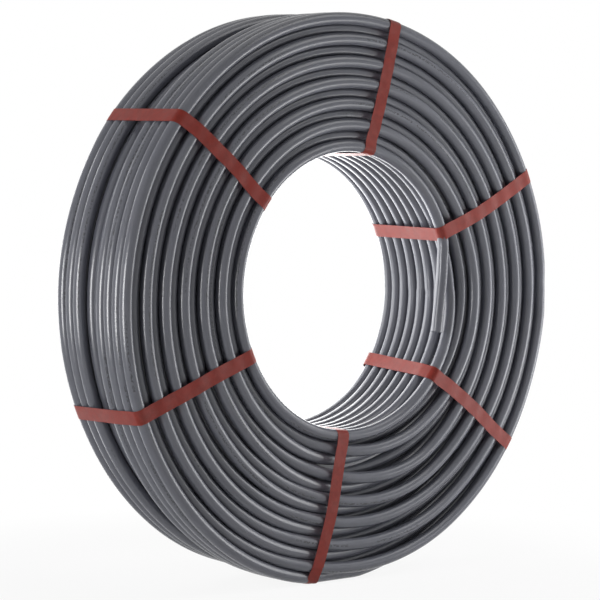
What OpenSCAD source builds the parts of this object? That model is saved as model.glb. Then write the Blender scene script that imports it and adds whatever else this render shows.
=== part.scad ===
// Coil of heating pipe: one continuous plastic pipe wound into a ring of nested
// turns and tied by six tapes. The coil stands on its rim with its axis along Y
// and its front end at -Y. The origin is on the floor, midway along the coil.

/* [Pipe] */
// Outside diameter of the pipe
pipe_od = 16; // [12:0.5:20]
// Wall of the pipe
pipe_wall = 2; // [1.2:0.1:3]

/* [Coil] */
// Inside diameter of the coil, at the crests of its innermost turns
coil_id = 370; // [330:1:450]
// Turns side by side in each full layer
turns_wide = 9; // [7:1:12]
// Layers of turns, one on the other
layers = 13; // [5:2:17]
// Sideways space between neighbouring turns of a layer
turn_gap = 0; // [0:0.1:2]
// Space between a layer and the layer it nests in
layer_gap = 0.6; // [0.1:0.1:1.5]
// Turns of the outermost layer that lie at the front, before its empty places
outer_front_turns = 4; // [1:1:5]
// Empty places in the outermost layer
outer_empty_turns = 2; // [0:1:3]

/* [Inner end] */
// Angle round the coil at which the inner end of the pipe leaves its turn
leave_angle = 45; // [35:1:70]
// Radius of the bend with which it turns into the opening
leave_bend_r = 130; // [105:1:150]
// Lean of its straight stretch towards the axis
end_lean = 5; // [0:0.5:10]
// Length of its straight stretch
end_length = 85; // [50:1:100]
// Depth of the bore in its straight stretch
end_bore_depth = 80; // [30:1:100]

/* [Tapes] */
// Width of each tape
tape_width = 19; // [12:0.5:30]
// Thickness of each tape
tape_thickness = 0.3; // [0.2:0.05:1]
// Space between a tape and the turns it passes over
tape_clearance = 0.1; // [0.05:0.05:0.3]

/* [Hidden] */
$fn = 180;
turn_fn = 48;
tape_fn = 48;

// Where the tapes sit round the coil, counted upwards from the right-hand side
tape_angles = [26.5, 81, 142, 204, 263, 323];

pipe_r = pipe_od / 2;
bore_r = pipe_r - pipe_wall;
turn_pitch = pipe_od + turn_gap;
half_pitch = turn_pitch / 2;
// Two neighbouring layers nest, so their centres lie closer than one diameter
layer_step = sqrt(pipe_od * pipe_od - half_pitch * half_pitch) + layer_gap;
inner_turn_r = coil_id / 2 + pipe_r;
outer_turn_r = inner_turn_r + (layers - 1) * layer_step;
coil_r = outer_turn_r + pipe_r;
end_y = (turns_wide - 1) * half_pitch;
// The inner end is drawn a little slimmer, so that it starts inside the wall of its turn
end_slimming = 0.1;
end_r = pipe_r - end_slimming;
// The plain core reaches this far past the turn centres and closes the grooves
core_reach = 2;

function is_short(layer) = layer % 2 == 1;
function turns_in(layer) = is_short(layer) ? turns_wide - 1 : turns_wide;
function turn_r(layer) = inner_turn_r + layer * layer_step;
function front_y(layer) = is_short(layer) ? half_pitch - end_y : -end_y;
function is_empty(turn) = turn >= outer_front_turns && turn < outer_front_turns + outer_empty_turns;

// Distance from the coil's axis to the inner end's centreline, at an angle round the coil
bend_offset = inner_turn_r - leave_bend_r;
function leaving_r(angle) =
    bend_offset * cos(leave_angle - angle)
    + sqrt(leave_bend_r * leave_bend_r - pow(bend_offset * sin(leave_angle - angle), 2));
// Slope of the inner end there, against a circle round the coil's axis
function leaving_slope(angle) = asin(bend_offset * sin(leave_angle - angle) / leave_bend_r);

// The coil's sections are drawn with the radius along X and the axis along Y
module turn_circle(radius, y) {
    translate([radius, y])
        circle(r = pipe_r, $fn = turn_fn);
}

module layer_turns(layer) {
    for (turn = [0 : turns_in(layer) - 1])
        turn_circle(turn_r(layer), front_y(layer) + turn * turn_pitch);
}

module outermost_turns() {
    for (turn = [0 : turns_wide - 1])
        if (!is_empty(turn))
            turn_circle(outer_turn_r, front_y(layers - 1) + turn * turn_pitch);
}

module end_turns() {
    for (layer = [1 : layers - 3], side = [-1, 1])
        turn_circle(turn_r(layer), side * front_y(layer));
}

// Plain core behind the turns that show, one zigzag along each end of the coil
module core_section() {
    core_layers = [for (layer = [0 : layers - 2]) layer];
    function reach_r(layer) =
        turn_r(layer) + (layer == 0 ? -core_reach : layer == layers - 2 ? core_reach : 0);
    front = [for (layer = core_layers) [reach_r(layer), front_y(layer) - core_reach]];
    back = [for (layer = core_layers) [reach_r(layer), core_reach - front_y(layer)]];
    polygon(concat(front, [for (i = [layers - 2 : -1 : 0]) back[i]]));
}

// Core under one group of turns of the outermost layer
module group_core(first, last) {
    low_y = front_y(layers - 1) + first * turn_pitch - core_reach;
    high_y = front_y(layers - 1) + last * turn_pitch + core_reach;
    if (last >= first)
        translate([turn_r(layers - 2) - core_reach, low_y])
            square([layer_step + 2 * core_reach, high_y - low_y]);
}

module coil_section() {
    layer_turns(0);
    end_turns();
    layer_turns(layers - 2);
    outermost_turns();
    core_section();
    group_core(0, outer_front_turns - 1);
    group_core(outer_front_turns + outer_empty_turns, turns_wide - 1);
}

module wound_turns() {
    rotate([90, 0, 0])
        rotate_extrude()
            mirror([0, 1])
                coil_section();
}

// Turns its children about the bend's centre, from the right-hand side upwards
module bend_frame(angle) {
    translate([bend_offset * cos(leave_angle), -end_y, bend_offset * sin(leave_angle)])
        rotate([0, -angle, 0])
            children();
}

// The inner end leaves its turn in a tighter bend and runs out straight
module inner_end() {
    bend_frame(-end_lean) {
        rotate([90, 0, 0])
            rotate_extrude(angle = leave_angle + end_lean)
                translate([leave_bend_r, 0])
                    circle(r = end_r);
        translate([leave_bend_r, 0, -end_length])
            cylinder(h = end_length, r = end_r);
    }
}

module inner_end_bore() {
    bend_frame(-end_lean)
        translate([leave_bend_r, 0, -end_length - 1])
            cylinder(h = end_bore_depth + 1, r = bore_r);
}

module pipe_coil() {
    color("dimgray")
        translate([0, 0, coil_r])
            difference() {
                union() {
                    wound_turns();
                    inner_end();
                }
                inner_end_bore();
            }
}

// Outline of a taut tape round the turns, grown by a distance
module tape_outline(angle, grow) {
    half_width = tape_width / 2;
    // The bore curves towards the tape's edges, and the inner end may pass under it
    bore_bow = coil_id / 2 - sqrt(pow(coil_id / 2, 2) - half_width * half_width);
    low_edge = angle - asin(half_width / (inner_turn_r - pipe_r));
    over_end = angle < leave_angle && low_edge > -end_lean;
    slant = leaving_slope(low_edge) + angle - low_edge;
    slant_bow = over_end ? pipe_r / cos(slant) - pipe_r : 0;
    front_inner_r = over_end ? leaving_r(low_edge) - slant_bow : inner_turn_r;
    hull() {
        for (y = [-end_y, end_y])
            translate([outer_turn_r, y])
                circle(r = pipe_r + grow, $fn = tape_fn);
        translate([inner_turn_r - bore_bow, end_y])
            circle(r = pipe_r + grow, $fn = tape_fn);
        translate([front_inner_r - bore_bow, -end_y])
            circle(r = pipe_r + grow, $fn = tape_fn);
    }
}

module tape(number) {
    angle = tape_angles[number - 1];
    color("firebrick")
        translate([0, 0, coil_r])
            rotate([0, -angle, 0])
                linear_extrude(tape_width, center = true)
                    difference() {
                        tape_outline(angle, tape_clearance + tape_thickness);
                        tape_outline(angle, tape_clearance);
                    }
}

pipe_coil();
tape(1);  // tape_1
tape(2);  // tape_2
tape(3);  // tape_3
tape(4);  // tape_4
tape(5);  // tape_5
tape(6);  // tape_6
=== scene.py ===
"""Looks of the coil of heating pipe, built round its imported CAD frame."""

import math

import bpy
from bpy.props import FloatProperty, FloatVectorProperty, IntProperty, PointerProperty
from mathutils import Matrix, Vector
from mathutils.geometry import convex_hull_2d


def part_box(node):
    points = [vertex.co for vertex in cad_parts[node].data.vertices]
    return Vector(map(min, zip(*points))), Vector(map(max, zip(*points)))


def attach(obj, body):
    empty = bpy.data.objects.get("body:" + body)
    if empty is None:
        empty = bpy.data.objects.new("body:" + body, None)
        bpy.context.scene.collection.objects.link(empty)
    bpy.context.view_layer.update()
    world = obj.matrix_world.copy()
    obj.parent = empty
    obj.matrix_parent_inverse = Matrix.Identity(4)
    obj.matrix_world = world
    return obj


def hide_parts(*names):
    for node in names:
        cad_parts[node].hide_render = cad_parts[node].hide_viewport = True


bl_info = {
    "name": "Heating pipe coil",
    "version": (1, 0, 0),
    "blender": (4, 5, 0),
    "location": "3D View > Sidebar > Pipe coil",
    "description": "Winds the pipe, ties it with tapes and lights it",
    "category": "Object",
}

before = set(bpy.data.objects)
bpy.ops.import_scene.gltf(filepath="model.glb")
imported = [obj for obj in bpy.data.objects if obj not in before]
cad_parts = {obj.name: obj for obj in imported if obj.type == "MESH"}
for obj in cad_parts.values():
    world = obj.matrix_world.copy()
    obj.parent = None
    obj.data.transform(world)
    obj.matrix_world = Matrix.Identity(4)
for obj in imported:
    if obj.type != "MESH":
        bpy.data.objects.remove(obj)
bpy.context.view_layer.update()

MM = 0.001
TURN = 360.0
SMOOTH_ANGLE = math.radians(40)

# The frame's coil
COIL_LOW, COIL_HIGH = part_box("pipe_coil")
COIL_MIDDLE_Z = (COIL_LOW.z + COIL_HIGH.z) / 2 / MM

# The wound turns lie a little off the middle of the rim: their centre, in mm
HUB_X = 2.73
HUB_Z = COIL_MIDDLE_Z + 7.0

# Winding, in mm and degrees. Angles run from the right-hand side upwards, seen from
# the front. Odd layers have nine turns and run to the back, even ones have eight and
# run to the front.
PITCH = 16.0
ODD_FRONT_Y = -64.0
EVEN_BACK_Y = 56.0
LAYERS = 13
# Angles between which a strand moves one place along the axis, in odd and even layers,
# and climbs to the next layer: sideways and outwards
ODD_SHIFT = (214.0, 294.0)
EVEN_SHIFT = (262.0, 335.0)
CLIMB_SIDE = (245.0, 287.0)
CLIMB_OUT = (255.0, 302.0)
ANGLE_KNOTS = (0, 45, 90, 135, 180, 235, 263, 290, 305, 340)
# Radius of the turns of each odd layer at those angles
ODD_RADII = (
    (194.2, 189.3, 190.8, 190.0, 189.7, 188.8, 189.5, 190.8, 192.3, 194.5),
    (232.0, 221.5, 218.2, 216.3, 215.9, 217.3, 221.2, 221.0, 224.4, 233.7),
    (257.6, 250.0, 246.0, 243.7, 245.1, 248.2, 257.7, 260.5, 262.0, 258.7),
    (285.8, 279.0, 273.2, 271.7, 274.4, 280.2, 286.5, 288.7, 288.2, 286.3),
    (312.2, 306.0, 301.0, 299.1, 304.5, 314.2, 315.0, 312.8, 312.9, 312.8),
    (340.7, 334.8, 329.8, 328.2, 332.9, 346.4, 346.8, 342.3, 340.8, 340.3),
    (364.8, 359.8, 356.5, 357.0, 363.7, 377.5, 376.8, 369.6, 367.0, 364.3),
)
# Radius of the innermost turns behind the front one, at those angles
BORE_RADII = (193.0, 192.4, 192.5, 192.5, 193.0, 191.0, 189.5, 189.8, 190.6, 192.6)
# Free inner end: angle and radius along its centreline, until it joins its turn
END_PATH = (
    (-19.5, 171.2),
    (-13.0, 168.1),
    (-4.8, 167.2),
    (1.7, 168.8),
    (12.5, 175.0),
    (21.7, 183.6),
    (33.0, 187.0),
    (45.0, 188.6),
    (57.0, 188.8),
)


def smooth(value, start, end):
    """0 before start, 1 after end and an even S between them."""
    t = min(1.0, max(0.0, (value - start) / (end - start)))
    return t * t * (3 - 2 * t)


def mix(a, b, t):
    """a at t = 0 and b at t = 1."""
    return a + (b - a) * t


def spline_value(knots, values, at):
    """Catmull-Rom value of a table at a place, for knots that aren't evenly spaced."""
    i = max(j for j in range(len(knots) - 1) if knots[j] <= at or j == 0)
    x0, x1 = knots[i], knots[i + 1]
    y0, y1 = values[i], values[i + 1]

    def slope(j):
        if j == 0 or j == len(knots) - 1:
            k = 0 if j == 0 else j - 1
            return (values[k + 1] - values[k]) / (knots[k + 1] - knots[k])
        return (values[j + 1] - values[j - 1]) / (knots[j + 1] - knots[j - 1])

    width = x1 - x0
    t = min(1.0, max(0.0, (at - x0) / width))
    h = t * t * (3 - 2 * t)
    return (
        mix(y0, y1, h)
        + width * slope(i) * t * (1 - t) * (1 - t)
        - width * slope(i + 1) * t * t * (1 - t)
    )


def round_value(row, angle):
    """Value at an angle of a row given at ANGLE_KNOTS, which closes on itself."""
    knots = [k - TURN for k in ANGLE_KNOTS[-2:]] + list(ANGLE_KNOTS)
    knots += [k + TURN for k in ANGLE_KNOTS[:2]]
    values = list(row[-2:]) + list(row) + list(row[:2])
    return spline_value(knots, values, angle % TURN)


def odd_radius(layer, angle):
    """Radius of an odd layer's centreline, in mm."""
    return round_value(ODD_RADII[(layer - 1) // 2], angle)


def bore_radius(angle, y):
    """Radius of the innermost layer, whose front turn lies apart from the rest."""
    behind = smooth(y, ODD_FRONT_Y + 2, ODD_FRONT_Y + 14)
    return mix(odd_radius(1, angle), round_value(BORE_RADII, angle), behind)


def layer_radius(layer, angle):
    """Radius of a layer's centreline, in mm. An even layer lies midway between odd ones."""
    if layer % 2:
        return odd_radius(layer, angle)
    return (odd_radius(layer - 1, angle) + odd_radius(layer + 1, angle)) / 2


# The back of the outer layers lies off the front's circle: outwards, in mm, at each angle
BACK_KNOTS = (0, 45, 90, 110, 130, 143, 160, 180, 210, 240, 270, 300, 330)
BACK_OFFSETS = (-3.4, 0.0, 2.8, 3.4, 2.8, 2.8, 1.8, 0.3, -4.8, -7.9, -8.1, -6.1, -3.5)


def back_offset(layer, angle, y):
    """How far outwards a turn lies off the front's circle, in mm, by its place."""
    knots = list(BACK_KNOTS) + [TURN]
    values = list(BACK_OFFSETS) + [BACK_OFFSETS[0]]
    share = smooth(y, -40, 60) * (layer / LAYERS) ** 2
    return share * spline_value(knots, values, angle % TURN)


def wobble(layer, turn, angle):
    """Small unevenness of a wound turn: outwards and along the axis, in mm."""
    a = math.radians(angle)
    seed = 1.7 * layer + 2.9 * turn
    out = 0.3 * math.sin(3 * a + seed) + 0.2 * math.sin(7 * a + 2.3 * seed)
    side = 0.22 * math.sin(4 * a + 1.3 * seed) + 0.13 * math.sin(9 * a + 3.1 * seed)
    return out, side


# How far the middle of every turn, and each tape, stay inside the frame's coil, in mm
TURN_EDGE = 8.42
TAPE_EDGE = 0.36


def inside_coil(angle, radius, edge):
    """The radius, cut where it would pass the frame's coil at the right, top or floor."""
    a = math.radians(angle)
    wide = (COIL_HIGH.x / MM - edge - HUB_X) / max(0.1, math.cos(a))
    high = (COIL_HIGH.z / MM - edge - HUB_Z) / max(0.1, math.sin(a))
    deep = (HUB_Z - COIL_LOW.z / MM - edge) / max(0.1, -math.sin(a))
    return min(radius, wide, high, deep)


def place(angle, radius, y):
    """A point of the winding in the frame, in metres."""
    a = math.radians(angle)
    return Vector(
        (HUB_X + radius * math.cos(a), y, HUB_Z + radius * math.sin(a))
    ) * MM


# Degrees from one point of a strand to the next
STEP = 1.5


def angles(start, end):
    """Even steps from one angle to another."""
    count = max(1, round((end - start) / STEP))
    return [start + (end - start) * i / count for i in range(count + 1)]


def point(layer, turn, angle, y, radius):
    """A point of a wound turn with its unevenness, kept inside the frame's coil."""
    out, side = wobble(layer, turn, angle)
    out += back_offset(layer, angle, y)
    return place(angle, inside_coil(angle, radius + out, TURN_EDGE), y + side)


def shifts(angle, zone, rounds):
    """How many places a strand has moved along the axis, one in the zone of each round."""
    return sum(smooth(angle, zone[0] + r * TURN, zone[1] + r * TURN) for r in rounds)


# Angles of the strands that climb between two layers: the rest of their turns is hidden
CLIMB_STRAND = (200.0, 360.0 + 3 * TURN)


def climbing_strand(layer, start_y, zone, top_y, next_zone, rise):
    """The last turns of a layer, its climb and the first turns of the next layer."""
    points = []
    for angle in angles(*CLIMB_STRAND):
        here = angle - TURN
        climb = smooth(here, *CLIMB_SIDE)
        y = mix(start_y + rise * shifts(angle, zone, (0,)), top_y, climb)
        y -= rise * shifts(angle, next_zone, (2, 3))
        radius = mix(
            layer_radius(layer, angle),
            layer_radius(layer + 1, angle),
            smooth(here, *CLIMB_OUT),
        )
        points.append(point(layer, 0, angle, y, radius))
    return points


def front_strand(even):
    """From the front turns of an even layer up into those of the next odd one."""
    start_y = ODD_FRONT_Y + 1.5 * PITCH
    return climbing_strand(even, start_y, EVEN_SHIFT, ODD_FRONT_Y, ODD_SHIFT, -PITCH)


def back_strand(odd):
    """From the back turns of an odd layer up into those of the next even one."""
    start_y = -ODD_FRONT_Y - PITCH
    return climbing_strand(odd, start_y, ODD_SHIFT, EVEN_BACK_Y, EVEN_SHIFT, PITCH)


# Places along the axis of the eight innermost turns, at these angles of each round
INNER_KNOTS = (-70, -28, 17, 42)
INNER_PLACES = (
    (-64.0, -61.8, -50.5, -46.8),
    (-47.5, -41.4, -33.5, -30.2),
    (-30.0, -24.0, -16.8, -14.3),
    (-12.3, -6.4, -0.6, 1.4),
    (5.2, 10.3, 16.0, 17.8),
    (22.8, 27.5, 33.4, 34.4),
    (40.6, 44.0, 49.6, 50.5),
    (58.4, 60.6, 63.6, 64.0),
)


# The innermost layer's climb after its last round, and how far its strand runs on.
# Over the blend, the turn's unevenness grows from nothing at the free end.
INNER_CLIMB = (285.0, 322.0)
INNER_RUN = 620.0
END_BLEND = 20.0


def inner_place(angle):
    """Place along the axis of the innermost layer's strand."""
    knots, places = [0.0], [ODD_FRONT_Y]
    for turn, row in enumerate(INNER_PLACES, 1):
        knots += [turn * TURN + k for k in INNER_KNOTS]
        places += row
    knots.append(knots[-1] + 200)
    places.append(places[-1])
    y = spline_value(knots, places, min(angle, knots[-1]))
    return min(-ODD_FRONT_Y, max(ODD_FRONT_Y, y))


def inner_strand():
    """The free inner end, the innermost layer and its climb into the second one."""
    points = []
    knots = [k for k, _ in END_PATH]
    radii = [r for _, r in END_PATH]
    last = len(INNER_PLACES) * TURN
    for angle in angles(knots[0], last + INNER_RUN):
        if angle < knots[-1]:
            points.append(place(angle, spline_value(knots, radii, angle), ODD_FRONT_Y))
            continue
        climb = smooth(angle, *(last + at for at in INNER_CLIMB))
        y = mix(inner_place(angle), EVEN_BACK_Y, climb)
        radius = mix(bore_radius(angle, y), layer_radius(2, angle), climb)
        blend = smooth(angle, knots[-1], knots[-1] + END_BLEND)
        out, side = wobble(1, int(angle // TURN), angle)
        points.append(place(angle, radius + out * blend, y + side * blend))
    return points


# The outermost layer: its turns before and behind the empty places, the angles of the
# move over those and of the later moves, and the angle of the pipe's outer end
TURNS_BEFORE, TURNS_BEHIND = 4, 3
GAP_JUMP = (250.0, 395.0)
LATE_SHIFT = (335.0, 380.0)
OUTER_END = 325.0
# Turns of the layer under it that the strand winds before it climbs
UNDER_TURNS = 6


def climb_to_rim(angle):
    """Radius and place of the turn that climbs to the rim's front edge."""
    radius = mix(
        layer_radius(LAYERS - 1, angle),
        layer_radius(LAYERS, angle),
        smooth(angle, *CLIMB_OUT),
    )
    return radius, mix(-EVEN_BACK_Y, ODD_FRONT_Y, smooth(angle, *CLIMB_SIDE))


def outer_strand():
    """The last layer but one, its climb, and the outermost layer with its empty places."""
    points = []
    under = LAYERS - 1
    climb_base = UNDER_TURNS * TURN
    turns = TURNS_BEFORE + TURNS_BEHIND
    for angle in angles(EVEN_SHIFT[0], climb_base + turns * TURN + OUTER_END):
        if angle < CLIMB_SIDE[0] + climb_base:
            y = EVEN_BACK_Y - PITCH
            y -= PITCH * shifts(angle, EVEN_SHIFT, range(UNDER_TURNS))
            points.append(point(under, 1, angle, y, layer_radius(under, angle)))
            continue
        here = angle - climb_base
        radius, y = climb_to_rim(here)
        for turn in range(1, turns):
            if turn < TURNS_BEFORE:
                zone, rise = ODD_SHIFT, PITCH
            elif turn == TURNS_BEFORE:
                zone, rise = GAP_JUMP, 3 * PITCH
            else:
                zone, rise = LATE_SHIFT, PITCH
            y += rise * shifts(here, zone, (turn,))
        points.append(point(LAYERS, int(here // TURN), angle, y, radius))
    return points


def deselect():
    """Object mode with nothing selected."""
    if bpy.context.object and bpy.context.object.mode != "OBJECT":
        bpy.ops.object.mode_set(mode="OBJECT")
    bpy.ops.object.select_all(action="DESELECT")


def swept_pipe(name, strands, radius, sides):
    """A mesh of round pipes along lists of points in the frame."""
    deselect()
    bpy.ops.curve.primitive_nurbs_path_add(location=(0, 0, 0))
    pipe = bpy.context.object
    pipe.name = name
    curve = pipe.data
    curve.splines.clear()
    for points in strands:
        line = curve.splines.new("POLY")
        line.points.add(len(points) - 1)
        for p, co in zip(line.points, points):
            p.co = (*co, 1)
    curve.dimensions = "3D"
    curve.twist_mode = "MINIMUM"
    curve.bevel_depth = radius
    curve.bevel_resolution = (sides - 4) // 2
    curve.use_fill_caps = False
    bpy.ops.object.convert(target="MESH")
    pipe = bpy.context.object
    pipe.data.name = name
    bpy.ops.object.mode_set(mode="EDIT")
    bpy.ops.mesh.select_all(action="SELECT")
    bpy.ops.mesh.remove_doubles(threshold=1e-6)
    bpy.ops.mesh.select_all(action="DESELECT")
    bpy.ops.mesh.select_mode(type="EDGE")
    bpy.ops.mesh.select_non_manifold()
    bpy.ops.mesh.edge_face_add()
    bpy.ops.mesh.select_all(action="SELECT")
    bpy.ops.mesh.normals_make_consistent(inside=False)
    bpy.ops.object.mode_set(mode="OBJECT")
    bpy.ops.object.shade_smooth_by_angle(angle=SMOOTH_ANGLE)
    return pipe


# An open end's rounded lip and the depth of its bore, in metres
LIP = 0.0004
BORE_DEPTH = 0.03


def open_end(pipe, end, inwards, wall):
    """Opens the pipe's closed end: the cap is inset by the wall and pushed in."""
    bpy.ops.object.mode_set(mode="EDIT")
    bpy.ops.mesh.select_mode(type="FACE")
    bpy.ops.mesh.select_all(action="DESELECT")
    bpy.ops.object.mode_set(mode="OBJECT")
    cap = min(
        (p for p in pipe.data.polygons if len(p.vertices) > 4),
        key=lambda p: (p.center - end).length,
    )
    cap.select = True
    bpy.ops.object.mode_set(mode="EDIT")
    bpy.ops.mesh.inset(thickness=LIP, depth=0)
    bpy.ops.mesh.inset(thickness=wall - LIP, depth=0)
    bpy.ops.mesh.extrude_region_move(
        TRANSFORM_OT_translate={"value": tuple(inwards * BORE_DEPTH)}
    )
    bpy.ops.object.mode_set(mode="OBJECT")


def add_socket(tree, name, kind, direction, default=None):
    """Gives a node group a named input or output."""
    socket = tree.interface.new_socket(name, in_out=direction, socket_type=kind)
    if default is not None:
        socket.default_value = default
    return socket


class Nodes:
    """Adds and joins nodes of one tree."""

    def __init__(self, tree):
        self.tree = tree

    def add(self, kind, inputs=None, **settings):
        node = self.tree.nodes.new(kind)
        for name, value in settings.items():
            setattr(node, name, value)
        for key, value in (inputs or {}).items():
            socket = node.inputs[key]
            if isinstance(value, bpy.types.NodeSocket):
                self.tree.links.new(value, socket)
            else:
                socket.default_value = value
        return node

    def noise(self, where, scale, detail, inputs=None, dimensions="3D"):
        inputs = {"Vector": where, "Scale": scale, "Detail": detail, **(inputs or {})}
        node = self.add("ShaderNodeTexNoise", inputs, noise_dimensions=dimensions)
        return node.outputs["Fac"]

    def point_of(self, values):
        return self.add("ShaderNodeCombineXYZ", values).outputs[0]

    def vector(self, operation, a, b=(0, 0, 0)):
        node = self.add("ShaderNodeVectorMath", {0: a, 1: b}, operation=operation)
        return node.outputs[0]

    def math(self, operation, a, b=0.0, c=0.0):
        node = self.add("ShaderNodeMath", {0: a, 1: b, 2: c}, operation=operation)
        return node.outputs[0]

    def ramp(self, value, low, high):
        node = self.add(
            "ShaderNodeMapRange",
            {"Value": value, "From Min": low, "From Max": high},
            interpolation_type="SMOOTHSTEP",
        )
        return node.outputs["Result"]

    def blend(self, factor, a, b, kind="MIX"):
        node = self.add(
            "ShaderNodeMix",
            {"Factor": factor, 6: a, 7: b},
            data_type="RGBA",
            blend_type=kind,
        )
        return node.outputs[2]


def round_the_coil():
    """Node group: place round the coil's axis, for patterns that follow the turns."""
    tree = bpy.data.node_groups.new("Round the coil", "ShaderNodeTree")
    add_socket(tree, "Pipe radius", "NodeSocketFloat", "INPUT", 0.008)
    for name in ("Radius", "Along", "Place", "Round the pipe"):
        add_socket(tree, name, "NodeSocketFloat", "OUTPUT")
    add_socket(tree, "Point", "NodeSocketVector", "OUTPUT")
    n = Nodes(tree)
    given = n.add("NodeGroupInput").outputs["Pipe radius"]
    where = n.add("ShaderNodeTexCoord").outputs["Object"]
    centred = n.vector("SUBTRACT", where, (HUB_X * MM, 0, HUB_Z * MM))
    normal = n.add("ShaderNodeNewGeometry").outputs["Normal"]
    inwards = n.add(
        "ShaderNodeVectorMath", {0: normal, "Scale": given}, operation="SCALE"
    ).outputs[0]
    middle = n.add(
        "ShaderNodeSeparateXYZ", {0: n.vector("SUBTRACT", centred, inwards)}
    ).outputs
    flat = n.vector("MULTIPLY", centred, (1, 0, 1))
    outwards = n.vector("NORMALIZE", flat)
    facing = n.add(
        "ShaderNodeVectorMath", {0: normal, 1: outwards}, operation="DOT_PRODUCT"
    ).outputs["Value"]
    length = n.add(
        "ShaderNodeVectorMath",
        {0: n.point_of({0: middle[0], 2: middle[2]})},
        operation="LENGTH",
    ).outputs["Value"]
    angle = n.math("ARCTAN2", middle[0], middle[2])
    normal_y = n.add("ShaderNodeSeparateXYZ", {0: normal}).outputs[1]
    to_front = n.math("MULTIPLY", normal_y, -1.0)
    n.add(
        "NodeGroupOutput",
        {
            "Radius": length,
            "Along": n.math("MULTIPLY", angle, length),
            "Place": middle[1],
            "Round the pipe": n.math("ARCTAN2", to_front, facing),
            "Point": centred,
        },
    )
    return tree


# Turns to a metre along the axis and layers to a metre outwards
TURNS_PER_M = 62.5
LAYERS_PER_M = 72.0


def marks_group():
    """Node group: rows of tiny worn ink specks along the pipe, in a few stretches."""
    tree = bpy.data.node_groups.new("Ink specks", "ShaderNodeTree")
    add_socket(tree, "Speck length", "NodeSocketFloat", "INPUT", 0.0019)
    add_socket(tree, "Row height", "NodeSocketFloat", "INPUT", 0.17)
    add_socket(tree, "Mask", "NodeSocketFloat", "OUTPUT")
    n = Nodes(tree)
    given = n.add("NodeGroupInput").outputs
    around = group(n, bpy.data.node_groups["Round the coil"]).outputs
    turn = n.point_of(
        {
            0: n.math("ROUND", n.math("MULTIPLY", around["Radius"], LAYERS_PER_M)),
            1: n.math("ROUND", n.math("MULTIPLY", around["Place"], TURNS_PER_M)),
        }
    )
    chance = n.add("ShaderNodeTexWhiteNoise", {"Vector": turn}).outputs["Value"]
    row = n.math("MULTIPLY_ADD", chance, 1.5, 0.15)
    off_row = n.math("ABSOLUTE", n.math("SUBTRACT", around["Round the pipe"], row))
    in_row = n.math("LESS_THAN", off_row, given["Row height"])
    along = n.point_of(
        {
            0: n.math("MULTIPLY", around["Along"], 5.0),
            1: n.math("MULTIPLY", chance, 90.0),
        }
    )
    stretch = n.noise(along, 1.0, 1.0, dimensions="2D")
    cell = n.point_of(
        {
            0: n.math("FLOOR", n.math("DIVIDE", around["Along"], given["Speck length"])),
            1: n.math("FLOOR", n.math("MULTIPLY", around["Round the pipe"], 9.0)),
            2: chance,
        }
    )
    speck = n.add("ShaderNodeTexWhiteNoise", {"Vector": cell}).outputs["Value"]
    mask = n.math("MULTIPLY", in_row, n.ramp(stretch, 0.47, 0.53))
    mask = n.math("MULTIPLY", mask, n.math("GREATER_THAN", speck, 0.52))
    n.add("NodeGroupOutput", {"Mask": mask})
    return tree


def dust_group():
    """Node group: fine dust and faint smears."""
    tree = bpy.data.node_groups.new("Dust", "ShaderNodeTree")
    add_socket(tree, "Amount", "NodeSocketFloat", "INPUT", 0.3)
    add_socket(tree, "Patches per metre", "NodeSocketFloat", "INPUT", 30.0)
    add_socket(tree, "Mask", "NodeSocketFloat", "OUTPUT")
    n = Nodes(tree)
    given = n.add("NodeGroupInput").outputs
    where = n.add("ShaderNodeTexCoord").outputs["Object"]
    soft = n.ramp(n.noise(where, given["Patches per metre"], 5.0), 0.42, 0.72)
    fine = n.ramp(n.noise(where, 900.0, 2.0), 0.45, 0.75)
    both = n.math("MULTIPLY", soft, n.math("MULTIPLY_ADD", fine, 0.6, 0.4))
    n.add("NodeGroupOutput", {"Mask": n.math("MULTIPLY", both, given["Amount"])})
    return tree


def new_material(name):
    """An empty material and the maker of its nodes."""
    material = bpy.data.materials.new(name)
    material.use_nodes = True
    material.node_tree.nodes.clear()
    return material, Nodes(material.node_tree)


def group(n, tree, inputs=None):
    """Places a node group, with its own values."""
    node = n.add("ShaderNodeGroup")
    node.node_tree = tree
    for key, value in (inputs or {}).items():
        node.inputs[key].default_value = value
    return node


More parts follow.
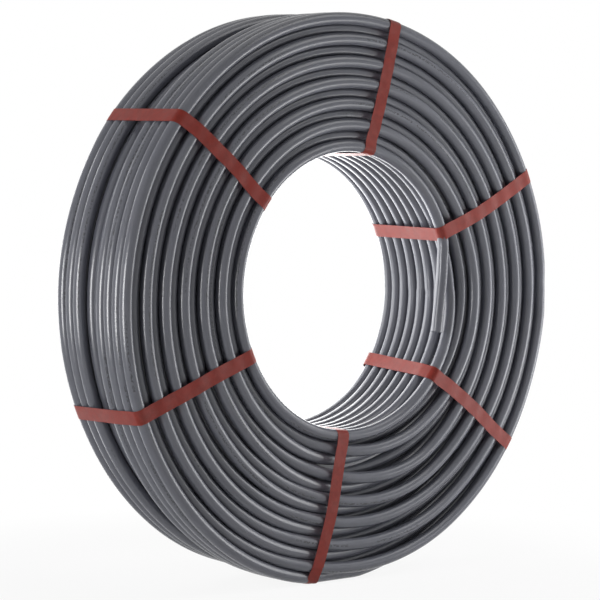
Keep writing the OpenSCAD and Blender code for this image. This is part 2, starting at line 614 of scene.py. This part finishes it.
def pipe_material(tint):
    """Satin extruded plastic with fine draw lines along the pipe and a light dust."""
    material, n = new_material("pipe plastic")
    around = group(n, bpy.data.node_groups["Round the coil"])
    stretched = n.vector("MULTIPLY", around.outputs["Point"], (9.0, 420.0, 9.0))
    outwards = n.math("MULTIPLY", around.outputs["Radius"], 420.0)
    lines = n.noise(stretched, 1.0, 4.0, {"W": outwards, "Roughness": 0.6}, "4D")
    where = n.add("ShaderNodeTexCoord").outputs["Object"]
    cloudy = n.noise(where, 14.0, 3.0)
    grain = n.noise(where, 1400.0, 2.0)
    values = {"Amount": 0.05, "Patches per metre": 26.0}
    dust = group(n, bpy.data.node_groups["Dust"], values)
    dark = tuple(c * 0.92 for c in tint) + (1,)
    light = tuple(min(1, c * 1.08) for c in tint) + (1,)
    base = n.blend(n.ramp(lines, 0.3, 0.7), dark, light)
    base = n.blend(n.math("MULTIPLY", n.ramp(cloudy, 0.35, 0.7), 0.35), base, light)
    base = n.blend(dust.outputs["Mask"], base, (0.42, 0.41, 0.4, 1))
    ink = group(n, bpy.data.node_groups["Ink specks"])
    faint = n.math("MULTIPLY", ink.outputs["Mask"], 0.6)
    base = n.blend(faint, base, (0.02, 0.02, 0.02, 1))
    rough = n.math("MULTIPLY_ADD", lines, 0.08, 0.2)
    rough = n.math("MULTIPLY_ADD", dust.outputs["Mask"], 0.6, rough)
    height = n.math("MULTIPLY_ADD", grain, 0.35, lines)
    bump = n.add(
        "ShaderNodeBump", {"Height": height, "Strength": 0.02, "Distance": 0.00015}
    ).outputs["Normal"]
    shader = n.add(
        "ShaderNodeBsdfPrincipled",
        {"Base Color": base, "Roughness": rough, "Normal": bump, "IOR": 1.5},
    )
    n.add("ShaderNodeOutputMaterial", {"Surface": shader.outputs[0]})
    return material


def tape_material(tint):
    """Thin plastic tape with faint creases. Part of the light passes into its shadow."""
    material, n = new_material("tape film")
    where = n.add("ShaderNodeTexCoord").outputs["Object"]
    creases = n.noise(where, 130.0, 5.0)
    cloudy = n.noise(where, 22.0, 3.0)
    values = {"Amount": 0.08, "Patches per metre": 40.0}
    dust = group(n, bpy.data.node_groups["Dust"], values)
    deep = tuple(c * 0.88 for c in tint) + (1,)
    pale = tuple(min(1, c * 1.06) for c in tint) + (1,)
    base = n.blend(n.ramp(creases, 0.35, 0.68), deep, pale)
    base = n.blend(n.math("MULTIPLY", n.ramp(cloudy, 0.4, 0.7), 0.4), base, pale)
    base = n.blend(dust.outputs["Mask"], base, (0.6, 0.45, 0.42, 1))
    rough = n.math("MULTIPLY_ADD", creases, 0.2, 0.32)
    bump = n.add(
        "ShaderNodeBump", {"Height": creases, "Strength": 0.35, "Distance": 0.0006}
    ).outputs["Normal"]
    shader = n.add(
        "ShaderNodeBsdfPrincipled",
        {
            "Base Color": base,
            "Roughness": rough,
            "Normal": bump,
            "Specular IOR Level": 0.2,
        },
    )
    through = n.add("ShaderNodeBsdfTransparent", {"Color": (0.75, 0.1, 0.07, 1)})
    shadow = n.add("ShaderNodeLightPath").outputs["Is Shadow Ray"]
    both = n.add(
        "ShaderNodeMixShader",
        {0: n.math("MULTIPLY", shadow, 0.6), 1: shader.outputs[0], 2: through.outputs[0]},
    )
    n.add("ShaderNodeOutputMaterial", {"Surface": both.outputs[0]})
    return material


# Tapes. The angle of each across the front face at these radii, then on the rim at
# the back and in the opening at the front and the back
FACE_RADII = (190, 215, 250, 290, 330, 370)
TAPE_ANGLES = (
    ((25.0, 24.6, 24.3, 24.6, 25.1, 25.6), 25.2, 25.1, 25.5),
    ((82.2, 80.9, 79.8, 79.1, 78.8, 78.7), 79.2, 81.6, 80.6),
    ((142.7, 142.6, 142.0, 142.1, 142.3, 143.2), 142.7, 142.5, 142.5),
    ((205.0, 204.6, 204.1, 203.9, 203.6, 203.4), 204.0, 205.0, 204.8),
    ((266.1, 265.3, 264.7, 264.1, 262.9, 261.7), 262.3, 265.9, 265.0),
    ((322.9, 323.7, 324.2, 324.3, 324.0, 324.1), 325.0, 323.1, 326.9),
)
# Places along the axis of turns that the tapes lie on, behind the front ones
RIM_PLACES = (-48, -32, -16, 32, 48, 64)
BORE_PLACES = (-48, -30, 0, 30, 64)
# How far a tape sinks between the turns, clears their unevenness and clears all, in mm
TAPE_SAG = 0.5
TAPE_LIFT = 0.42
TAPE_GAP = 0.08
# Points of a tape's loop, and of each turn that it is stretched round
TAPE_STEPS = 260
TURN_STEPS = 48
# Tapes whose lapped end shows at the opening's front corner, and how far it is lifted
# and reaches outwards and back, in mm
LAPPED_TAPES = (1, 6)
LAP_LIFT = 0.5
LAP_OUT = -4.4
LAP_BACK = 7.0


def depth_of(y):
    """0 at the place of the front turns and 1 at that of the back ones."""
    return (y - ODD_FRONT_Y) / (-2 * ODD_FRONT_Y)


def end_radius(angle):
    """Radius of the pipe at the opening's front corner: the free end passes there."""
    knots = [k for k, _ in END_PATH]
    radii = [r for _, r in END_PATH]
    if knots[0] + 5 < angle < knots[-1]:
        return spline_value(knots, radii, angle)
    return layer_radius(1, angle)


def tape_sag(r, y, angle):
    """Distance a tape sinks between the prominent turns of the front and back faces."""
    if abs(y) < -ODD_FRONT_Y + 7.9:
        return 0.0
    radii = [bore_radius(angle, y)]
    for layer in range(3, LAYERS + 1, 2):
        radii.append(layer_radius(layer, angle) + back_offset(layer, angle, y))
    for low, high in zip(radii, radii[1:]):
        if low < r < high:
            return TAPE_SAG * math.sin(math.pi * (r - low) / (high - low)) ** 2
    return 0.0


def taped_turns(angles_at):
    """Radius and place of the turns that a tape is stretched round, the rim's first."""
    face, back_out, front_in, back_in = angles_at
    front_out = face[-1]
    leaving = inside_coil(front_out, layer_radius(LAYERS, front_out), TURN_EDGE)
    climbing, climbing_y = climb_to_rim(front_out)
    turns = [
        (leaving + TAPE_LIFT, ODD_FRONT_Y + PITCH * smooth(front_out, *ODD_SHIFT)),
        (climbing + TAPE_LIFT, climbing_y),
    ]
    for y in RIM_PLACES:
        at = mix(front_out, back_out, depth_of(y))
        r = layer_radius(LAYERS, at) + back_offset(LAYERS, at, y)
        turns.append((inside_coil(at, r, TURN_EDGE) + TAPE_LIFT, y))
    for y in BORE_PLACES:
        at = mix(front_in, back_in, depth_of(y))
        turns.append((bore_radius(at, y) - TAPE_LIFT, y))
    return turns


def section_loop(angles_at, reach):
    """The tape's loop round the coil's section: radius, place along the axis and angle."""
    face, back_out, front_in, back_in = angles_at
    turns = taped_turns(angles_at)
    inside, outside = end_radius(front_in), turns[0][0]
    cloud = []
    for r, y in (*turns, (inside, ODD_FRONT_Y)):
        for i in range(TURN_STEPS):
            a = math.tau * i / TURN_STEPS
            cloud.append((r + reach * math.cos(a), y + reach * math.sin(a)))
    ring = [cloud[i] for i in convex_hull_2d(cloud)]
    lengths = [math.dist(a, b) for a, b in zip(ring, ring[1:] + ring[:1])]
    total = sum(lengths)
    loop = []
    for s in range(TAPE_STEPS):
        want = total * s / TAPE_STEPS
        i = 0
        while want > lengths[i]:
            want -= lengths[i]
            i += 1
        t = want / lengths[i]
        r, y = (mix(ring[i][c], ring[(i + 1) % len(ring)][c], t) for c in (0, 1))
        across = min(1.0, max(0.0, (r - inside) / (outside - inside)))
        depth = min(1.0, max(0.0, depth_of(y)))
        on_face = min(max(r, FACE_RADII[0]), FACE_RADII[-1])
        front = spline_value(FACE_RADII, face, on_face)
        front = mix(front_in, front, min(1.0, across * 8))
        angle = mix(front, mix(back_in, back_out, across), depth)
        y -= math.copysign(tape_sag(r, y, angle), y)
        loop.append((r, y, angle))
    return loop


def overlap_path(loop, corner_r):
    """The part of a tape's loop that its lapped end covers, lifted off the tape."""
    path = []
    for r, y, angle in loop:
        if r > corner_r + LAP_OUT or y > ODD_FRONT_Y + LAP_BACK:
            continue
        away = Vector((r - corner_r, min(0.0, y - ODD_FRONT_Y))).normalized()
        path.append((r + LAP_LIFT * away.x, y + LAP_LIFT * away.y, angle))
    return sorted(path, key=lambda p: math.atan2(p[1] - ODD_FRONT_Y, corner_r - p[0]))


# Points across a tape
TAPE_COLUMNS = 5


def tape_mesh(name, loop, sizes, closed):
    """A thin band along a path. A closed one has its thickness on the outside."""
    deselect()
    across = TAPE_COLUMNS
    bpy.ops.mesh.primitive_grid_add(
        x_subdivisions=across - 1, y_subdivisions=len(loop) - 1, size=1
    )
    tape = bpy.context.object
    tape.name = tape.data.name = name
    half = sizes.width / 2 / MM
    for v in tape.data.vertices:
        column, row = v.index % across, v.index // across
        r, y, angle = loop[row]
        offset = half * (2 * column / (across - 1) - 1)
        here = angle + math.degrees(offset / r)
        v.co = place(here, inside_coil(here, r, TAPE_EDGE), y)
    if closed:
        bpy.ops.object.mode_set(mode="EDIT")
        bpy.ops.mesh.select_all(action="DESELECT")
        bpy.ops.object.mode_set(mode="OBJECT")
        last = len(loop) - 1
        for edge in tape.data.edges:
            rows = {i // across for i in edge.vertices}
            edge.select = rows in ({0}, {last})
        bpy.ops.object.mode_set(mode="EDIT")
        bpy.ops.mesh.select_mode(type="EDGE")
        bpy.ops.mesh.bridge_edge_loops()
        bpy.ops.mesh.select_all(action="SELECT")
        bpy.ops.mesh.normals_make_consistent(inside=False)
        bpy.ops.object.mode_set(mode="OBJECT")
    thick = tape.modifiers.new("Film", "SOLIDIFY")
    thick.thickness = sizes.thickness
    thick.offset = 1 if closed else 0
    bpy.ops.object.modifier_apply(modifier=thick.name)
    bpy.ops.object.mode_set(mode="EDIT")
    bpy.ops.mesh.select_all(action="SELECT")
    bpy.ops.mesh.normals_make_consistent(inside=False)
    bpy.ops.object.mode_set(mode="OBJECT")
    bpy.ops.object.shade_smooth_by_angle(angle=SMOOTH_ANGLE)
    return tape


class CoilSizes(bpy.types.PropertyGroup):
    """Sizes and colour of the pipe"""

    outside: FloatProperty(
        name="Pipe diameter",
        description="Outside diameter of the pipe",
        default=0.016,
        unit="LENGTH",
    )
    wall: FloatProperty(
        name="Pipe wall",
        description="Wall thickness of the pipe, seen at its open ends",
        default=0.002,
        unit="LENGTH",
    )
    sides: IntProperty(
        name="Sides", description="Faces round the pipe", default=20, min=8, max=32
    )
    tint: FloatVectorProperty(
        name="Pipe colour",
        description="Base colour of the pipe's plastic",
        default=(0.118, 0.122, 0.146),
        subtype="COLOR",
        size=3,
    )


class TapeSizes(bpy.types.PropertyGroup):
    """Sizes and colour of the tapes"""

    width: FloatProperty(
        name="Tape width", description="Width of each tape", default=0.019, unit="LENGTH"
    )
    thickness: FloatProperty(
        name="Tape thickness",
        description="Thickness of each tape",
        default=0.0003,
        unit="LENGTH",
    )
    tint: FloatVectorProperty(
        name="Tape colour",
        description="Base colour of the tape's film",
        default=(0.215, 0.026, 0.018),
        subtype="COLOR",
        size=3,
    )


class PIPECOIL_OT_shaders(bpy.types.Operator):
    """Build the shared node groups and the two plastics"""

    bl_idname = "pipecoil.shaders"
    bl_label = "Plastics"

    def execute(self, context):
        round_the_coil()
        dust_group()
        marks_group()
        pipe_material(context.scene.coil_sizes.tint)
        tape_material(context.scene.tape_sizes.tint)
        return {"FINISHED"}


# Plain core behind the turns that show: its inside and outside radius and half its width
CORE_RING = (199.5, 345.0, 46.0)


def ring_core(name):
    """A plain ring with a square section, round the coil's axis."""
    inside, outside, half = (v * MM for v in CORE_RING)
    deselect()
    bpy.ops.mesh.primitive_cylinder_add(
        vertices=120,
        radius=outside,
        depth=2 * half,
        end_fill_type="NOTHING",
        location=(HUB_X * MM, 0, HUB_Z * MM),
        rotation=(math.radians(90), 0, 0),
    )
    core = bpy.context.object
    core.name = core.data.name = name
    bpy.ops.object.transform_apply()
    wall = core.modifiers.new("Wall", "SOLIDIFY")
    wall.thickness = outside - inside
    wall.offset = -1
    bpy.ops.object.modifier_apply(modifier=wall.name)
    bpy.ops.object.shade_smooth_by_angle(angle=SMOOTH_ANGLE)
    return core


def finish_pipe(pipe):
    """Gives a piece of the pipe its plastic and its place in the frame."""
    pipe.data.materials.clear()
    pipe.data.materials.append(bpy.data.materials["pipe plastic"])
    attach(pipe, "root")
    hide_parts("pipe_coil")


class PIPECOIL_OT_inner_turns(bpy.types.Operator):
    """Wind the free end and the innermost layer"""

    bl_idname = "pipecoil.inner_turns"
    bl_label = "Free end and innermost turns"

    def execute(self, context):
        sizes = context.scene.coil_sizes
        strand = inner_strand()
        pipe = swept_pipe("pipe_inner_turns", [strand], sizes.outside / 2, sizes.sides)
        inwards = (strand[1] - strand[0]).normalized()
        open_end(pipe, strand[0], inwards, sizes.wall)
        finish_pipe(pipe)
        return {"FINISHED"}


class PIPECOIL_OT_end_turns(bpy.types.Operator):
    """Wind the turns that show on the coil's front and back"""

    bl_idname = "pipecoil.end_turns"
    bl_label = "Turns of the two ends"

    def execute(self, context):
        sizes = context.scene.coil_sizes
        fronts = [front_strand(even) for even in range(2, LAYERS - 1, 2)]
        backs = [back_strand(odd) for odd in range(3, LAYERS - 1, 2)]
        for name, strands in (("pipe_front_turns", fronts), ("pipe_back_turns", backs)):
            finish_pipe(swept_pipe(name, strands, sizes.outside / 2, sizes.sides))
        finish_pipe(ring_core("pipe_hidden_core"))
        return {"FINISHED"}


class PIPECOIL_OT_outer_turns(bpy.types.Operator):
    """Wind the outermost layer over the one that its empty places uncover"""

    bl_idname = "pipecoil.outer_turns"
    bl_label = "Outermost turns"

    def execute(self, context):
        sizes = context.scene.coil_sizes
        strand = outer_strand()
        pipe = swept_pipe("pipe_outer_turns", [strand], sizes.outside / 2, sizes.sides)
        inwards = (strand[-2] - strand[-1]).normalized()
        open_end(pipe, strand[-1], inwards, sizes.wall)
        finish_pipe(pipe)
        return {"FINISHED"}


class PIPECOIL_OT_tapes(bpy.types.Operator):
    """Tie the coil with its flat tapes"""

    bl_idname = "pipecoil.tapes"
    bl_label = "Tapes"

    def execute(self, context):
        sizes = context.scene.tape_sizes
        pipe_r = context.scene.coil_sizes.outside / 2 / MM
        for number, angles_at in enumerate(TAPE_ANGLES, 1):
            loop = section_loop(angles_at, pipe_r + TAPE_GAP)
            films = [tape_mesh(f"tape_{number}_film", loop, sizes, True)]
            if number in LAPPED_TAPES:
                lap = overlap_path(loop, end_radius(angles_at[2]))
                films.append(tape_mesh(f"tape_{number}_lap", lap, sizes, False))
            for film in films:
                film.data.materials.append(bpy.data.materials["tape film"])
                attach(film, "root")
                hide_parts(f"tape_{number}")
        return {"FINISHED"}


# Camera, in metres and degrees
CAMERA_PLACE = (-1.996, -2.2623, 0.483)
CAMERA_TURN = 41.04
CAMERA_TILT = -2.19
CAMERA_ROLL = 0.72
CAMERA_LENS = 136.0


def add_camera():
    """A camera whose tilt and roll are set by its directions ahead, right and up."""
    deselect()
    turn, tilt, roll = (
        math.radians(v) for v in (CAMERA_TURN, CAMERA_TILT, CAMERA_ROLL)
    )
    ahead = Vector(
        (
            math.sin(turn) * math.cos(tilt),
            math.cos(turn) * math.cos(tilt),
            math.sin(tilt),
        )
    )
    right = Vector((math.cos(turn), -math.sin(turn), 0))
    up = right.cross(ahead)
    right, up = (
        math.cos(roll) * right + math.sin(roll) * up,
        math.cos(roll) * up - math.sin(roll) * right,
    )
    matrix = Matrix((right, up, -ahead)).transposed()
    bpy.ops.object.camera_add(location=CAMERA_PLACE, rotation=matrix.to_euler())
    camera = bpy.context.object
    camera.data.lens = CAMERA_LENS
    camera.data.clip_end = 50
    bpy.context.scene.camera = camera


# Softboxes round the coil: angle round it in degrees from the right-hand side, height
# and distance of the middle, width and height in metres, radiance, and whether they
# light matt surfaces and show in glossy ones
SOFTBOXES = (
    ("left strip", 189, 0.355, 1.464, 0.42, 0.61, 18.0, False, True),
    ("left fill", 190, 0.75, 2.3, 0.3, 1.3, 17.5, True, False),
    ("right side", 332, 0.45, 1.4, 0.5, 0.8, 3.6, True, True),
    ("far right", 345, 0.4, 1.4, 0.5, 0.8, 10.0, True, False),
    ("high right", 310, 2.1, 1.5, 1.2, 1.0, 2.5, True, True),
    ("low right", 325, 0.15, 1.2, 0.6, 0.3, 3.4, True, True),
    ("overhead", 228, 2.7, 0.1, 1.6, 1.6, 0.4, True, True),
    ("back left", 135, 0.75, 2.8, 1.7, 1.1, 5.0, True, False),
)
SOFTBOX_TARGET = (0, 0, 0.4)
# More of them, given by place and target in metres
PANELS = (
    ("bore panel", (0.0, 0.078, 0.381), (0.1, -1, 0.381), 0.26, 0.26, 2.7, True, True),
    ("opening panel", (-0.25, 0.45, 0.47), (0.19, 0, 0.4), 0.4, 0.4, 3.0, True, True),
    ("opening gloss", (0.36, 0.42, 0.5), (0.36, 0, 0.5), 0.6, 0.6, 4.0, False, True),
    ("floor bounce", (0.8, 1.5, 0.012), (0.8, 1.5, 5), 2.4, 2.2, 2.3, True, True),
    ("front bounce", (0.7, -1.3, 0.012), (0.7, -1.3, 5), 1.6, 1.6, 0.35, True, True),
)


def add_softbox(name, place_at, look_at, width, height, radiance, matt, glossy):
    """An area lamp whose power gives its face one radiance."""
    deselect()
    aim = (Vector(look_at) - Vector(place_at)).to_track_quat("-Z", "Y").to_euler()
    bpy.ops.object.light_add(type="AREA", location=place_at, rotation=aim)
    lamp = bpy.context.object
    lamp.name = name
    lamp.data.shape = "RECTANGLE"
    lamp.data.size = width
    lamp.data.size_y = height
    lamp.data.energy = radiance * math.pi * width * height
    lamp.visible_camera = False
    lamp.visible_diffuse = matt
    lamp.visible_glossy = glossy


def backdrop_factor(n):
    """1 for the rays that meet plain white: seen directly, mirrored or through glass."""
    path = n.add("ShaderNodeLightPath").outputs
    seen = n.math("MAXIMUM", path["Is Camera Ray"], path["Is Glossy Ray"])
    return n.math("MAXIMUM", seen, path["Is Transmission Ray"])


def white_surroundings(scene):
    """A world that is white to look at and gives almost no light."""
    world = bpy.data.worlds.new("studio")
    scene.world = world
    world.use_nodes = True
    world.node_tree.nodes.clear()
    n = Nodes(world.node_tree)
    plain = n.add("ShaderNodeBackground", {"Color": (1, 1, 1, 1), "Strength": 0.01})
    white = n.add("ShaderNodeBackground", {"Color": (1, 1, 1, 1), "Strength": 1.0})
    both = n.add(
        "ShaderNodeMixShader",
        {0: backdrop_factor(n), 1: plain.outputs[0], 2: white.outputs[0]},
    )
    n.add("ShaderNodeOutputWorld", {"Surface": both.outputs[0]})


def pale_floor():
    """A floor that takes the shadow near the coil and fades into the white further off."""
    deselect()
    bpy.ops.mesh.primitive_plane_add(size=30, location=(0, 0, -0.0005))
    floor = bpy.context.object
    floor.name = "floor"
    material, n = new_material("pale floor")
    where = n.add("ShaderNodeTexCoord").outputs["Object"]
    distance = n.add("ShaderNodeVectorMath", {0: where}, operation="LENGTH")
    far = n.ramp(distance.outputs["Value"], 0.35, 0.75)
    far = n.math("MULTIPLY_ADD", far, 0.1, 0.9)
    shader = n.add(
        "ShaderNodeBsdfPrincipled",
        {"Base Color": (0.8, 0.8, 0.8, 1), "Roughness": 0.9},
    )
    white = n.add("ShaderNodeEmission", {"Color": (1, 1, 1, 1), "Strength": 1.0})
    share = n.math("MULTIPLY", far, backdrop_factor(n))
    both = n.add(
        "ShaderNodeMixShader", {0: share, 1: shader.outputs[0], 2: white.outputs[0]}
    )
    n.add("ShaderNodeOutputMaterial", {"Surface": both.outputs[0]})
    floor.data.materials.append(material)


class PIPECOIL_OT_stage(bpy.types.Operator):
    """Set the camera, the lamps, the floor and the white surroundings"""

    bl_idname = "pipecoil.stage"
    bl_label = "Stage"

    def execute(self, context):
        context.scene.view_settings.view_transform = "Standard"
        add_camera()
        for name, azimuth, height, distance, *rest in SOFTBOXES:
            turn = math.radians(azimuth)
            spot = (distance * math.cos(turn), distance * math.sin(turn), height)
            add_softbox(name, spot, SOFTBOX_TARGET, *rest)
        for panel in PANELS:
            add_softbox(*panel)
        white_surroundings(context.scene)
        pale_floor()
        return {"FINISHED"}


class PIPECOIL_PT_panel(bpy.types.Panel):
    """Builds the coil of pipe piece by piece"""

    bl_idname = "PIPECOIL_PT_panel"
    bl_label = "Pipe coil"
    bl_space_type = "VIEW_3D"
    bl_region_type = "UI"
    bl_category = "Pipe coil"

    def draw(self, context):
        column = self.layout.column()
        for group_of_sizes in (context.scene.coil_sizes, context.scene.tape_sizes):
            for name in group_of_sizes.__annotations__:
                column.prop(group_of_sizes, name)
        for operator in OPERATORS:
            column.operator(operator.bl_idname)


OPERATORS = (
    PIPECOIL_OT_shaders,
    PIPECOIL_OT_inner_turns,
    PIPECOIL_OT_end_turns,
    PIPECOIL_OT_outer_turns,
    PIPECOIL_OT_tapes,
    PIPECOIL_OT_stage,
)
CLASSES = (CoilSizes, TapeSizes, *OPERATORS, PIPECOIL_PT_panel)


def register():
    for cls in CLASSES:
        bpy.utils.register_class(cls)
    bpy.types.Scene.coil_sizes = PointerProperty(type=CoilSizes)
    bpy.types.Scene.tape_sizes = PointerProperty(type=TapeSizes)


def unregister():
    del bpy.types.Scene.tape_sizes
    del bpy.types.Scene.coil_sizes
    for cls in reversed(CLASSES):
        bpy.utils.unregister_class(cls)


def main():
    register()
    bpy.ops.pipecoil.shaders()
    bpy.ops.pipecoil.inner_turns()
    bpy.ops.pipecoil.end_turns()
    bpy.ops.pipecoil.outer_turns()
    bpy.ops.pipecoil.tapes()
    bpy.ops.pipecoil.stage()


if __name__ == "__main__":
    main()
